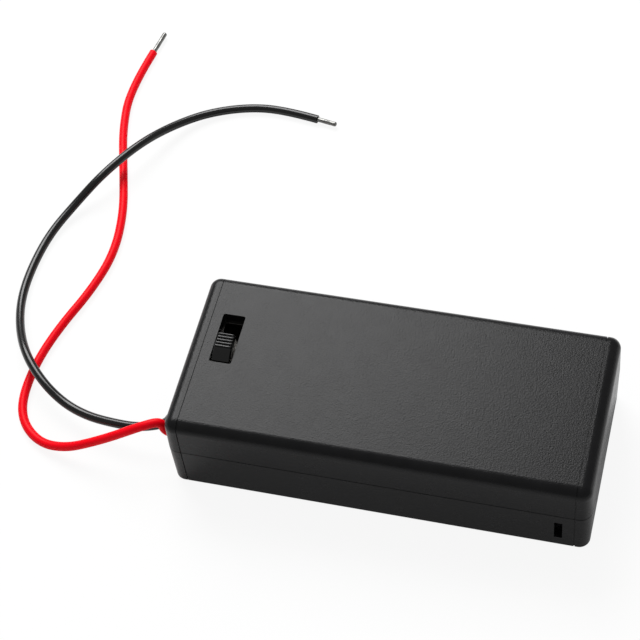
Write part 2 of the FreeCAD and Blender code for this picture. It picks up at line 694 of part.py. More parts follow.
def bent_tab(y):
    """Solder tab bent from the plate's foot, running under the partition into the switch room."""
    low = (TAB_END, y - TAB_WIDTH / 2, TAB_TOP - PLATE_SHEET)
    high = (BAY_START + PLATE_SHEET, y + TAB_WIDTH / 2, TAB_TOP)
    return box(low, high)


def make_positive_plate():
    y = -BAY_CENTRE
    plate = upright_plate(BAY_START, y, PLATE_WIDTH, TAB_TOP - PLATE_SHEET)
    parts = [bent_tab(y), dimple(BAY_START + PLATE_SHEET, y, 1)]
    return plate.fuse(parts).removeSplitter()


def make_negative_plate():
    y = BAY_CENTRE
    plate = upright_plate(BAY_START, y, PLATE_WIDTH, TAB_TOP - PLATE_SHEET)
    return plate.fuse(bent_tab(y)).removeSplitter()


def make_link_plate():
    """One plate across both bays at the far end, which puts the two cells in series."""
    plate = upright_plate(LINK_FACE, 0, 2 * BAY_CENTRE + PLATE_WIDTH, LINK_FOOT)
    return plate.fuse(dimple(LINK_FACE, BAY_CENTRE, -1)).removeSplitter()


def tube_path(points):
    """Straight runs joined by tangent arcs, each as large as its two runs allow."""
    points = [Vector(*p) for p in points]
    edges = []
    radii = []
    here = points[0]
    for i in range(1, len(points) - 1):
        before = points[i] - points[i - 1]
        after = points[i + 1] - points[i]
        turn = before.getAngle(after)
        reach = 0.45 * min(before.Length, after.Length)
        radius = reach / math.tan(turn / 2)
        radii.append(radius)
        first = points[i] - before.normalize() * reach
        last = points[i] + after.normalize() * reach
        inward = (first + last) * 0.5 - points[i]
        centre_distance = math.hypot(reach, radius)
        middle = points[i] + inward.normalize() * (centre_distance - radius)
        edges.append(Part.LineSegment(here, first).toShape())
        edges.append(Part.Arc(first, middle, last).toShape())
        here = last
    edges.append(Part.LineSegment(here, points[-1]).toShape())
    return Part.Wire(edges), radii


def make_tube(name, points, diameter):
    """Round wire of constant diameter along the path; prints its radii and volumes."""
    path, radii = tube_path(points)
    start = Vector(*points[0])
    heading = Vector(*points[1]) - start
    section = Part.Wire(Part.makeCircle(diameter / 2, start, heading))
    tube = path.makePipeShell([section], True, False)
    expected = math.pi * (diameter / 2) ** 2 * path.Length
    print(name, "length %.1f" % path.Length, "volume %.2f of %.2f" % (tube.Volume, expected))
    print(name, "radii", [round(r, 1) for r in radii])
    return tube


def make_tip(route, length):
    """Twisted and tinned strands at a lead's bare end, with a blunt rounded nose."""
    end = Vector(*route[-1])
    heading = end - Vector(*route[-2])
    shank = Part.makeCylinder(TIP_DIAMETER / 2, length - TIP_DIAMETER / 2, end, heading)
    nose = end + heading.normalize() * (length - TIP_DIAMETER / 2)
    return shank.fuse(Part.makeSphere(TIP_DIAMETER / 2, nose)).removeSplitter()


def make_spring(name, x, y, direction):
    """Conical compression spring on a plate at x: one closed coil, then open coils towards the cell."""
    seat = SPRING_WIRE / 2 + SPRING_SEAT_GAP
    closed = SPRING_WIRE + CLOSED_COIL_GAP
    rise = (SPRING_LENGTH - SPRING_WIRE - closed) / (SPRING_TURNS - 1)
    points = []
    for i in range(SPRING_TURNS * POINTS_PER_TURN + 1):
        turn = i / POINTS_PER_TURN
        radius = SPRING_BASE_RADIUS + (SPRING_TIP_RADIUS - SPRING_BASE_RADIUS) * turn / SPRING_TURNS
        height = seat + closed * min(turn, 1) + rise * max(turn - 1, 0)
        angle = 2 * math.pi * turn
        across = radius * math.cos(angle)
        up = radius * math.sin(angle)
        points.append((x + direction * height, y + across, CELL_AXIS + up))
    return make_tube(name, points, SPRING_WIRE)


def red_tail_route():
    """In through the wall, then across to the first terminal and along its blade."""
    x = SWITCH_X - WIRE_BESIDE_BLADE
    y = terminal_y(0)
    return [
        (LEAD_END, RED_LEAD_Y, LEAD_HEIGHT),
        (INNER_LEAD_END + RED_TAIL_STRAIGHT, RED_LEAD_Y, LEAD_HEIGHT),
        (x - RED_TAIL_BOW, RED_LEAD_Y + RED_TAIL_STEP, WIRE_ON_BLADE),
        (x, y - JOINT_RUN, WIRE_ON_BLADE),
        (x, y - INSULATION_SHORT, WIRE_ON_BLADE),
    ]


def black_tail_route():
    """In through the wall, down, across under the switch and up onto the back plate's tab."""
    below_solder = WIRE_ON_BLADE - SOLDER_RADIUS - LEAD_DIAMETER / 2 - WIRE_BELOW_SOLDER
    low = min(WIRE_ON_TAB - LEAD_DIAMETER, below_solder)
    x = INNER_LEAD_END + BLACK_TAIL_STRAIGHT
    return [
        (LEAD_END, BLACK_LEAD_Y, LEAD_HEIGHT),
        (x, BLACK_LEAD_Y, LEAD_HEIGHT),
        (x + LEAD_DIAMETER / 4, BLACK_LEAD_Y + LEAD_DIAMETER, LEAD_HEIGHT - BLACK_TAIL_DIP),
        (x + LEAD_DIAMETER, BLACK_LEAD_Y + 3 * LEAD_DIAMETER, low),
        (TAB_END - 3 * LEAD_DIAMETER, BAY_CENTRE - 3 * LEAD_DIAMETER, low),
        (TAB_END - LEAD_DIAMETER, BAY_CENTRE - LEAD_DIAMETER, WIRE_ON_TAB),
        (SOLDER_X - INSULATION_SHORT, BAY_CENTRE, WIRE_ON_TAB),
    ]


def jumper_route():
    """From the middle terminal's blade forward and down onto the front plate's tab."""
    x = SWITCH_X + WIRE_BESIDE_BLADE
    y = terminal_y(1)
    return [
        (x, y - INSULATION_SHORT, WIRE_ON_BLADE),
        (x, y - JOINT_RUN, WIRE_ON_BLADE),
        (x + JUMPER_BOW, y - 2 * JOINT_RUN, WIRE_ON_BLADE - JUMPER_SAG),
        (SOLDER_X, TAB_WIDTH - BAY_CENTRE, WIRE_ON_TAB),
        (SOLDER_X, INSULATION_SHORT - BAY_CENTRE, WIRE_ON_TAB),
    ]


def solder_bead(centre, low, high, route):
    """Ball of solder round a wire's bared end: only its part in a box, and cut flat at the insulation."""
    end = Vector(*route[-1])
    back = Vector(*route[-2]) - end
    insulation = Part.makeCylinder(2 * SOLDER_RADIUS, 2 * SOLDER_RADIUS, end, back)
    ball = Part.makeSphere(SOLDER_RADIUS, centre)
    return ball.common(box(low, high)).cut(insulation).Solids[0]


def solder_on_tab(y, route):
    """Dome of solder on a contact plate's tab."""
    reach = 2 * SOLDER_RADIUS
    centre = Vector(SOLDER_X, y, TAB_TOP)
    low = (SOLDER_X - reach, y - reach, TAB_TOP)
    high = (SOLDER_X + reach, y + reach, TAB_TOP + reach)
    return solder_bead(centre, low, high, route)


def solder_on_blade(index, route, hand):
    """Bead of solder on one face of a terminal's blade."""
    reach = 2 * SOLDER_RADIUS
    face = SWITCH_X + hand * TERMINAL_SHEET / 2
    y = terminal_y(index)
    centre = Vector(face + hand * SOLDER_STANDOFF, y, WIRE_ON_BLADE)
    low_x, high_x = sorted((face, face + hand * reach))
    low = (low_x, y - reach, WIRE_ON_BLADE - reach)
    high = (high_x, y + reach, WIRE_ON_BLADE + reach)
    return solder_bead(centre, low, high, route)


def build():
    red_tail = red_tail_route()
    black_tail = black_tail_route()
    jumper = jumper_route()
    nodes = {
        "cover": make_cover(),
        "tray": make_tray(),
        "switch_frame": make_switch_frame(),
        "switch_board": make_switch_board(),
        "switch_knob": make_switch_knob(),
        "switch_contact": make_switch_contact(),
        "positive_plate": make_positive_plate(),
        "negative_plate": make_negative_plate(),
        "link_plate": make_link_plate(),
        "negative_spring": make_spring("negative_spring", BAY_START + PLATE_SHEET, BAY_CENTRE, 1),
        "link_spring": make_spring("link_spring", LINK_FACE, -BAY_CENTRE, -1),
        "jumper_wire": make_tube("jumper_wire", jumper, LEAD_DIAMETER),
        "red_lead_tail": make_tube("red_lead_tail", red_tail, LEAD_DIAMETER),
        "black_lead_tail": make_tube("black_lead_tail", black_tail, LEAD_DIAMETER),
        "red_lead": make_tube("red_lead", RED_ROUTE, LEAD_DIAMETER),
        "black_lead": make_tube("black_lead", BLACK_ROUTE, LEAD_DIAMETER),
        "red_lead_tip": make_tip(RED_ROUTE, RED_TIP_LENGTH),
        "black_lead_tip": make_tip(BLACK_ROUTE, BLACK_TIP_LENGTH),
        "solder_red": solder_on_blade(0, red_tail, -1),
        "solder_jumper_switch": solder_on_blade(1, jumper[::-1], 1),
        "solder_jumper_plate": solder_on_tab(-BAY_CENTRE, jumper),
        "solder_black": solder_on_tab(BAY_CENTRE, black_tail),
    }
    for i in range(TERMINALS):
        nodes["switch_terminal_%d" % (i + 1)] = make_terminal(i)
    return nodes


os.makedirs("parts", exist_ok=True)
for node, shape in build().items():
    shape.exportStep("parts/%s.step" % node)
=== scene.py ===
# %% [markdown]
# # A flat battery box with a slide switch and two leads
#
# The object is a closed box of black ABS for two small round cells. It lies on its clip-on cover.
# A slide switch shows in a window of the upper face, and two stripped leads lie on the table.
# The solids come from CAD, already in place and in metres. This lesson gives them their finish and
# replaces the pieces that CAD draws too plainly: the leads, their tinned ends and the switch knob.

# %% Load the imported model
import json
import math

import bpy
import numpy as np
from mathutils import Matrix, Vector


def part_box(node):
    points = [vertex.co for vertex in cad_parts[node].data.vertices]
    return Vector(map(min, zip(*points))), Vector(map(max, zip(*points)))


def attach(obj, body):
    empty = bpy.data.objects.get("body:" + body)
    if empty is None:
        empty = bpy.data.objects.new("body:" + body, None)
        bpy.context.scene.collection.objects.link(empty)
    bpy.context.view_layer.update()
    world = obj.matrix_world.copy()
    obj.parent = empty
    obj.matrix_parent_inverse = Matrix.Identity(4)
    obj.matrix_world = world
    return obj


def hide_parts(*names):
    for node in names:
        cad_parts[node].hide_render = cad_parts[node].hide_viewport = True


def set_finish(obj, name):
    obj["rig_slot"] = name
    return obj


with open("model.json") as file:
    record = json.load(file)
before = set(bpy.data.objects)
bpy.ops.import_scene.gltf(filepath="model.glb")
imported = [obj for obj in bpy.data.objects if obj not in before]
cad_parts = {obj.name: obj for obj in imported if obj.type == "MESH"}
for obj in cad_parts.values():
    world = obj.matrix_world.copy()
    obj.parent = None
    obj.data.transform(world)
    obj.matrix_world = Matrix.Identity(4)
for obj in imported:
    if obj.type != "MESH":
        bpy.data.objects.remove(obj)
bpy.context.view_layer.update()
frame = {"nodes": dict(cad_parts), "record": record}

MM = 0.001

# %% [markdown]
# ## Camera
#
# The photograph was taken with a long lens, because the box's edges hardly converge. The camera is
# given as an orbit: the point on the table that the middle of the picture looks at, the distance to
# it, and three turns. A roll is needed too, because the photographer tilted the picture.

# %% Camera
LOOK_AT = Vector((-17.05, 19.01, 0.0)) * MM
CAMERA_DISTANCE = 317.4 * MM
CAMERA_AZIMUTH = 20.112
CAMERA_ELEVATION = 54.004
CAMERA_ROLL = -7.793
LENS_MM = 110.69
SENSOR_MM = 36.0
NEAREST_SEEN = 10 * MM
FARTHEST_SEEN = 20.0


def orbit(azimuth, elevation):
    """Unit vector from the object to a viewer.

    Azimuth 0 is in front and grows to the right. Both angles are in degrees.
    """
    a = math.radians(azimuth)
    e = math.radians(elevation)
    return Vector((math.sin(a) * math.cos(e), -math.cos(a) * math.cos(e), math.sin(e)))


def make_camera():
    """Camera on its orbit.

    Its axes are: right, level and then rolled; up, at right angles; back, to the viewer.
    """
    back = orbit(CAMERA_AZIMUTH, CAMERA_ELEVATION)
    level = Vector((0, 0, 1)).cross(back).normalized()
    right = Matrix.Rotation(math.radians(CAMERA_ROLL), 3, back) @ level
    up = back.cross(right)
    data = bpy.data.cameras.new("camera")
    data.lens = LENS_MM
    data.sensor_width = SENSOR_MM
    data.sensor_fit = "HORIZONTAL"
    data.clip_start = NEAREST_SEEN
    data.clip_end = FARTHEST_SEEN
    camera = bpy.data.objects.new("camera", data)
    turn = Matrix((right, up, back)).transposed().to_4x4()
    camera.matrix_world = Matrix.Translation(LOOK_AT + back * CAMERA_DISTANCE) @ turn
    bpy.context.scene.collection.objects.link(camera)
    bpy.context.scene.camera = camera
    return camera


camera = make_camera()
print("camera at", [round(c / MM, 1) for c in camera.matrix_world.translation], "mm")

# %% [markdown]
# ## Leads
#
# Each lead is a fine stranded wire in soft PVC. It leaves its notch straight, drops to the table and
# lies there in loose bends. The black one has a low hump at both places where it crosses the red
# one. A NURBS curve bends evenly, as insulation does, so it is the natural tool. Its control points
# are the route's points, in millimetres from the spot on the table below the lead's exit.

# %% Routes of the leads
LEAD_DIAMETER = 1.45
LEAD_HEIGHT = 7.1
REST = 0.75
RED_EXIT = (-32.0, -10.4, 0.0)
BLACK_EXIT = (-32.0, -7.3, 0.0)

RED_STEPS = [
    (0.0, 0.0, LEAD_HEIGHT),
    (-1.6, 0.0, LEAD_HEIGHT),
    (-2.0, 0.5, 9.2),
    (-5.2, -1.0, 8.8),
    (-9.0, -1.8, 6.6),
    (-13.2, -2.4, 4.2),
    (-17.6, -2.9, 2.1),
    (-22.2, -2.2, 0.9),
    (-26.0, 0.7, REST),
    (-27.9, 5.1, REST),
    (-27.9, 12.4, REST),
    (-26.3, 19.8, REST),
    (-23.5, 27.8, REST),
    (-22.0, 35.8, REST),
    (-23.0, 44.5, REST),
    (-25.6, 52.9, REST),
    (-28.8, 62.7, REST),
    (-30.1, 71.9, REST),
    (-28.6, 81.0, REST),
]
BLACK_STEPS = [
    (0.0, 0.0, LEAD_HEIGHT),
    (-1.4, 0.0, LEAD_HEIGHT),
    (-2.3, -0.6, 5.2),
    (-6.6, -1.6, 4.4),
    (-11.3, -1.2, 3.8),
    (-15.8, -0.3, 3.1),
    (-20.2, 1.4, 2.9),
    (-24.4, 4.0, 3.8),
    (-28.7, 8.4, 3.9),
    (-32.3, 14.6, 2.2),
    (-34.5, 21.3, 0.9),
    (-34.8, 28.1, REST),
    (-34.0, 35.1, REST),
    (-31.4, 41.2, 1.6),
    (-27.8, 46.6, 3.9),
    (-23.6, 54.1, 3.9),
    (-19.6, 60.9, 1.9),
    (-14.2, 65.8, 0.9),
    (-7.0, 68.3, REST),
    (-0.6, 68.3, REST),
    (4.5, 67.4, REST),
]
RED_ROUTE = np.array(RED_EXIT) + np.array(RED_STEPS)
BLACK_ROUTE = np.array(BLACK_EXIT) + np.array(BLACK_STEPS)
print("control points:", len(RED_ROUTE), "on the red lead,", len(BLACK_ROUTE), "on the black one")

# %% Leads
CURVE_ORDER = 3
STEPS_A_SPAN = 10
STEPS_A_QUARTER = 5


def make_lead(name, route):
    """Round tube along a NURBS curve through its first and last control points.

    The tube's radius is the bevel depth of one times the radius that every point carries.
    """
    curve = bpy.data.curves.new(name, "CURVE")
    curve.dimensions = "3D"
    curve.resolution_u = STEPS_A_SPAN
    curve.render_resolution_u = STEPS_A_SPAN
    curve.bevel_depth = 1.0
    curve.bevel_resolution = STEPS_A_QUARTER
    curve.use_fill_caps = True
    spline = curve.splines.new("NURBS")
    spline.points.add(len(route) - 1)
    points = np.c_[route * MM, np.ones(len(route))]
    spline.points.foreach_set("co", points.ravel())
    spline.points.foreach_set("radius", np.full(len(route), LEAD_DIAMETER / 2 * MM))
    spline.order_u = CURVE_ORDER
    spline.use_endpoint_u = True
    piece = bpy.data.objects.new(name, curve)
    bpy.context.scene.collection.objects.link(piece)
    return piece


red_lead = make_lead("red_lead_wire", RED_ROUTE)
black_lead = make_lead("black_lead_wire", BLACK_ROUTE)
print("leads made:", red_lead.name, "and", black_lead.name)

# %% [markdown]
# ## Tinned ends
#
# The insulation is stripped from the last millimetres, and the seven copper strands are twisted and
# dipped in solder. The solder bridges them, so the end is one bar with shallow spiral flutes. A grid
# of angle and length gives that surface in one formula.

# %% A closed surface from a grid
def grid_mesh(name, points):
    """Mesh of a grid of points, rows by columns.

    Each row is a ring, so its last point joins its first. The first and last rings get a cap.
    """
    rows, columns, _ = points.shape
    ring = np.arange(rows * columns).reshape(rows, columns)
    following = np.roll(ring, -1, axis=1)
    quads = np.stack([ring[:-1], following[:-1], following[1:], ring[1:]], axis=-1)
    faces = quads.reshape(-1, 4).tolist()
    faces.append(ring[0, ::-1].tolist())
    faces.append(ring[-1].tolist())
    mesh = bpy.data.meshes.new(name)
    mesh.from_pydata(points.reshape(-1, 3).tolist(), [], faces)
    mesh.shade_smooth()
    mesh.validate()
    piece = bpy.data.objects.new(name, mesh)
    bpy.context.scene.collection.objects.link(piece)
    return piece


# %% Tinned ends
TIP_DIAMETER = 0.8
RED_TIP_LENGTH = 4.98
BLACK_TIP_LENGTH = 3.6
OUTER_STRANDS = 6
FLUTE_DEPTH = 0.015
TWIST_PITCH = 12.0
NOSE_LENGTH = 0.3
NOSE_END = 0.995
TIP_RINGS = 90
TIP_RING_POINTS = 72
CROWDING = 0.8


def make_tip(name, route, length):
    """Twisted strands after the route's end.

    The radius is the bar's, less a flute depth times one minus the size of a sine that turns with
    the length: each strand is one crest. Near the nose the radius falls along a quarter ellipse.
    The rings' distance is a power of their number, which sets them closer towards the nose.
    """
    end = route[-1]
    heading = end - route[-2]
    heading /= np.linalg.norm(heading)
    side = np.cross(heading, (0.0, 0.0, 1.0))
    side /= np.linalg.norm(side)
    up = np.cross(side, heading)
    angle = np.linspace(0, 2 * np.pi, TIP_RING_POINTS, endpoint=False)[None, :]
    along = np.linspace(0, 1, TIP_RINGS)[:, None] ** CROWDING * length
    twist = 2 * np.pi * along / TWIST_PITCH
    crest = np.abs(np.sin(OUTER_STRANDS / 2 * (angle - twist)))
    nose = np.clip((along - length + NOSE_LENGTH) / NOSE_LENGTH, 0, NOSE_END)
    radius = (TIP_DIAMETER / 2 - FLUTE_DEPTH * (1 - crest)) * np.sqrt(1 - nose ** 2)
    points = (
        end
        + heading * along[..., None]
        + side * (radius * np.cos(angle))[..., None]
        + up * (radius * np.sin(angle))[..., None]
    )
    return grid_mesh(name, points * MM)


red_tip = make_tip("red_lead_strands", RED_ROUTE, RED_TIP_LENGTH)
black_tip = make_tip("black_lead_strands", BLACK_ROUTE, BLACK_TIP_LENGTH)
print("faces of a tinned end:", len(red_tip.data.polygons))

# %% [markdown]
# ## Switch knob
#
# The knob of a slide switch is a small acetal moulding: a cap with a ramp in front and five grip
# ridges, a neck through the steel frame, and a carrier plate under it. CAD draws the ridges as plain
# wedges. Real ones are half round, and each crest mirrors the light behind as a bright line. All
# three parts are bars along the box's width with rounded sections, so one formula makes them.

# %% Sizes of the knob
KNOB_LOW, KNOB_HIGH = (np.array(tuple(corner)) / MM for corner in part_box("switch_knob"))
CARRIER_OVERHANG = 0.8
CARRIER_THICKNESS = 1.0
CAP_FRONT = KNOB_LOW[1] + CARRIER_OVERHANG
CAP_BACK = KNOB_HIGH[1] - CARRIER_OVERHANG
CAP_WIDTH = 2.7
CAP_HEIGHT = 2.82
RIDGES = 5
RIDGE_HEIGHT = 0.28
RIDGE_WIDTH = 0.34
RIDGE_PITCH = 0.55
LAST_RIDGE_INSET = 0.3
FIRST_RIDGE = CAP_BACK - LAST_RIDGE_INSET - RIDGE_PITCH * (RIDGES - 1)
RAMP_LENGTH = FIRST_RIDGE - RIDGE_WIDTH / 2 - CAP_FRONT
RAMP_DROP = 1.1
RAMP_BULGE = 0.17
NECK_INSET = 0.2
CROWN = KNOB_HIGH[2] - RIDGE_HEIGHT
print("knob's cap in mm:", round(CAP_BACK - CAP_FRONT, 2), "long, ramp", round(RAMP_LENGTH, 2))

# %% A bar with a rounded section
EDGE_ROUND = 0.14
SQUARENESS = 0.16
FADE_POWER = 16
SECTION_POINTS = 96


def signed_power(value):
    """The value's size to a small power, with its sign kept: it turns a circle into a soft square."""
    return np.sign(value) * np.abs(value) ** SQUARENESS


def rounded_bar(name, y, top, bottom, half_width, ridge=0.0):
    """Closed bar along y, centred on the knob's middle line.

    A section is a superellipse: x and z are signed small powers of the cosine and sine of one angle.
    Near both ends it shrinks along a quarter circle. The ridge height is added to the upper half and
    fades out towards the sides with a high power of x.
    """
    to_end = np.clip(np.minimum(y - y[0], y[-1] - y) / EDGE_ROUND, 0, 1)
    shrink = EDGE_ROUND * (1 - np.sqrt(1 - (1 - to_end) ** 2))[:, None]
    angle = np.linspace(0, 2 * np.pi, SECTION_POINTS, endpoint=False)[None, :]
    across = signed_power(np.cos(angle))
    upright = signed_power(np.sin(angle))
    top = np.broadcast_to(top, y.shape)[:, None]
    ridge = np.broadcast_to(ridge, y.shape)[:, None]
    lift = np.clip(upright, 0, 1) * (1 - across ** FADE_POWER) * ridge
    x = (KNOB_LOW[0] + KNOB_HIGH[0]) / 2 + across * (half_width - shrink)
    z = (top + bottom) / 2 + upright * ((top - bottom) / 2 - shrink) + lift
    points = np.stack([x, np.broadcast_to(y[:, None], x.shape), z], axis=-1)
    return grid_mesh(name, points * MM)


# %% Switch knob
CAP_RINGS = 460
NECK_RINGS = 40
CARRIER_RINGS = 60
CREST_POWER = 0.35


def make_cap():
    """Cap: the ramp is a straight rise with a parabola on it.

    Each ridge is one minus the squared distance from its crest, to a small power, which gives a
    flattened half ellipse.
    """
    y = np.linspace(CAP_FRONT, CAP_BACK, CAP_RINGS)
    rise = np.clip((y - CAP_FRONT) / RAMP_LENGTH, 0, 1)
    top = CROWN - RAMP_DROP * (1 - rise) + 4 * RAMP_BULGE * rise * (1 - rise)
    crests = CAP_BACK - LAST_RIDGE_INSET - RIDGE_PITCH * np.arange(RIDGES)
    from_crest = np.abs(y[:, None] - crests).min(axis=1) / (RIDGE_WIDTH / 2)
    ridge = RIDGE_HEIGHT * np.clip(1 - from_crest ** 2, 0, 1) ** CREST_POWER
    return rounded_bar("knob_cap", y, top, CROWN - CAP_HEIGHT, CAP_WIDTH / 2, ridge)


def make_neck():
    """Neck: from inside the carrier to inside the cap, a little shorter than the cap."""
    y = np.linspace(CAP_FRONT + NECK_INSET, CAP_BACK - NECK_INSET, NECK_RINGS)
    low = KNOB_LOW[2] + CARRIER_THICKNESS - EDGE_ROUND
    return rounded_bar("knob_neck", y, CROWN - CAP_HEIGHT + EDGE_ROUND, low, CAP_WIDTH / 2)


def make_carrier():
    """Carrier: the flat plate that the frame holds down."""
    y = np.linspace(KNOB_LOW[1], KNOB_HIGH[1], CARRIER_RINGS)
    half_width = (KNOB_HIGH[0] - KNOB_LOW[0]) / 2
    top = KNOB_LOW[2] + CARRIER_THICKNESS
    return rounded_bar("knob_carrier", y, top, KNOB_LOW[2], half_width)


knob_pieces = [make_cap(), make_neck(), make_carrier()]
print("knob triangles:", [2 * len(piece.data.polygons) for piece in knob_pieces])

# %% [markdown]
# ## What moves with what
#
# The leads are held by the box, so they ride on its body, and each stands for its CAD solid. The
# knob's three parts stand for one solid together. The lengths are those of the CAD tubes, and both
# leads show from end to end in the photograph.

for piece in knob_pieces:
    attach(piece, "knob")
    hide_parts("switch_knob")
    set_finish(piece, "knob_plastic")

for piece, node, slot in [
    (red_lead, "red_lead", "red_pvc"),
    (black_lead, "black_lead", "black_pvc"),
    (red_tip, "red_lead_tip", "tinned_copper"),
    (black_tip, "black_lead_tip", "tinned_copper"),
]:
    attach(piece, "box")
    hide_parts(node)
    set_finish(piece, slot)

# %% [markdown]
# ## Materials
#
# Every finish starts from what the real one is. Colours are written as sRGB hex values, as a colour
# picker gives them, and turned to the linear values that the shader wants. The moulded plastics and
# the PVC have specular levels below the usual 0.5, which brings their sheen down to the photo's.

# %% Colour and node helpers
def linear(text):
    """Linear RGBA of an sRGB hex colour.

    A channel c becomes c / 12.92 below 0.04045, else ((c + 0.055) / 1.055) to the power 2.4.
    """
    srgb = [int(text[i:i + 2], 16) / 255 for i in (1, 3, 5)]
    return [c / 12.92 if c < 0.04045 else ((c + 0.055) / 1.055) ** 2.4 for c in srgb] + [1.0]


def add(owner, kind, inputs=None, **settings):
    """Adds one node to a material or world. settings are the node's properties.

    inputs maps a socket to a value or to another node's output.
    """
    made = owner.node_tree.nodes.new(kind)
    for name, value in settings.items():
        setattr(made, name, value)
    for socket, value in (inputs or {}).items():
        if isinstance(value, bpy.types.NodeSocket):
            owner.node_tree.links.new(value, made.inputs[socket])
        else:
            made.inputs[socket].default_value = value
    return made


def empty_material(name):
    """Node material without any node."""
    material = bpy.data.materials.new(name)
    material.use_nodes = True
    material.node_tree.nodes.clear()
    return material


def object_place(material):
    """The object coordinates, in metres, that the material's patterns lie on."""
    return add(material, "ShaderNodeTexCoord").outputs["Object"]


def surface(material, shader):
    """Joins the shader to the material's output."""
    add(material, "ShaderNodeOutputMaterial", {"Surface": shader.outputs[0]})
    return material


def per_mm(size_mm):
    """Texture scale that repeats a pattern about once per size, because coordinates are in metres."""
    return 1 / (size_mm * MM)


# %% [markdown]
# ### Spark-eroded ABS
#
# The mould of the box was cut by spark erosion, which leaves a fine even grain on the moulded ABS.
# It makes the face matt, with a grey sheen where light glances off the grains. The grain is about
# 0.1 mm on the real part and is drawn at 0.25 mm, because it would not show in the picture else.
# A second, wider pattern is the uneven flow of the plastic, which mottles the sheen slightly.

# %% Spark-eroded ABS
GRAIN_MM = 0.25
GRAIN_DEPTH_MM = 0.032
FLOW_MM = 2.4


def abs_plastic():
    """Near-black plastic: the flow noise varies its tone and roughness, and the grain noise its relief."""
    material = empty_material("spark_eroded_black_abs")
    place = object_place(material)
    grain = add(material, "ShaderNodeTexNoise", {
        "Vector": place,
        "Scale": per_mm(GRAIN_MM),
        "Detail": 2.0,
        "Roughness": 0.6,
    })
    flow = add(material, "ShaderNodeTexNoise", {
        "Vector": place,
        "Scale": per_mm(FLOW_MM),
        "Detail": 3.0,
        "Roughness": 0.55,
    })
    tone = add(material, "ShaderNodeMapRange", {
        "Value": flow.outputs["Fac"],
        "From Min": 0.3,
        "From Max": 0.7,
    })
    colour = add(material, "ShaderNodeMix", {
        "Factor": tone.outputs["Result"],
        "A": linear("#121213"),
        "B": linear("#161617"),
    }, data_type="RGBA")
    sheen = add(material, "ShaderNodeMapRange", {
        "Value": flow.outputs["Fac"],
        "From Min": 0.25,
        "From Max": 0.75,
        "To Min": 0.23,
        "To Max": 0.29,
    })
    relief = add(material, "ShaderNodeBump", {
        "Height": grain.outputs["Fac"],
        "Strength": 0.9,
        "Distance": GRAIN_DEPTH_MM * MM,
    })
    return surface(material, add(material, "ShaderNodeBsdfPrincipled", {
        "Base Color": colour.outputs[2],
        "Roughness": sheen.outputs["Result"],
        "Normal": relief.outputs["Normal"],
        "IOR": 1.53,
        "Specular IOR Level": 0.12,
    }))


# %% [markdown]
# ### PVC insulation
#
# Hook-up wire is coated with soft PVC through a die, which leaves a satin skin with a faint ripple.
# Red PVC is strongly dyed, so even its shaded side stays red.

# %% PVC insulation
DYE_MM = 3.0
RIPPLE_MM = 0.5
RIPPLE_DEPTH_MM = 0.04


def pvc(name, light, dark, roughness, gloss):
    """Two close tones of one dye, mixed by a slow noise, on a rippled satin skin.

    gloss is the shader's specular level.
    """
    material = empty_material(name)
    place = object_place(material)
    dye = add(material, "ShaderNodeTexNoise", {
        "Vector": place,
        "Scale": per_mm(DYE_MM),
        "Detail": 2.0,
    })
    skin = add(material, "ShaderNodeTexNoise", {
        "Vector": place,
        "Scale": per_mm(RIPPLE_MM),
        "Detail": 1.0,
    })
    colour = add(material, "ShaderNodeMix", {
        "Factor": dye.outputs["Fac"],
        "A": linear(light),
        "B": linear(dark),
    }, data_type="RGBA")
    ripple = add(material, "ShaderNodeBump", {
        "Height": skin.outputs["Fac"],
        "Strength": 0.12,
        "Distance": RIPPLE_DEPTH_MM * MM,
    })
    return surface(material, add(material, "ShaderNodeBsdfPrincipled", {
        "Base Color": colour.outputs[2],
        "Roughness": roughness,
        "Normal": ripple.outputs["Normal"],
        "IOR": 1.54,
        "Specular IOR Level": gloss,
    }))


# %% [markdown]
# ### Metals
#
# The strands are tinned by dipping, which leaves a grey and slightly uneven skin, and the solder
# joints are brighter. The switch frame, contact plates and springs are nickel plated steel, and the
# contact strip is phosphor bronze. The steel and the strands are darker here than such metal is:
# under this light, brighter tones did not match the photo at the window and at the leads' ends.

# %% Metals
DENT_DEPTH_MM = 0.02
SMOOTHEST = 0.7
ROUGHEST = 1.4


def metal(name, colour, roughness, unevenness_mm):
    """Bare metal. One noise of the given size varies its roughness and dents it slightly.

    The roughness goes from its smoothest to its roughest share of the given one.
    """
    material = empty_material(name)
    place = object_place(material)
    noise = add(material, "ShaderNodeTexNoise", {
        "Vector": place,
        "Scale": per_mm(unevenness_mm),
        "Detail": 3.0,
    })
    rough = add(material, "ShaderNodeMapRange", {
        "Value": noise.outputs["Fac"],
        "To Min": roughness * SMOOTHEST,
        "To Max": roughness * ROUGHEST,
    })
    dents = add(material, "ShaderNodeBump", {
        "Height": noise.outputs["Fac"],
        "Strength": 0.15,
        "Distance": DENT_DEPTH_MM * MM,
    })
    return surface(material, add(material, "ShaderNodeBsdfPrincipled", {
        "Base Color": linear(colour),
        "Metallic": 1.0,
        "Roughness": rough.outputs["Result"],
        "Normal": dents.outputs["Normal"],
    }))


# %% [markdown]
# ### Board and knob
#
# The switch's board is black paper laminate, so little shows through the window. The knob is black
# acetal, which leaves its mould smooth and gets fine scuffs from fingers.

# %% Board and knob
FIBRE_MM = 0.4
SCUFF_MM = 0.6


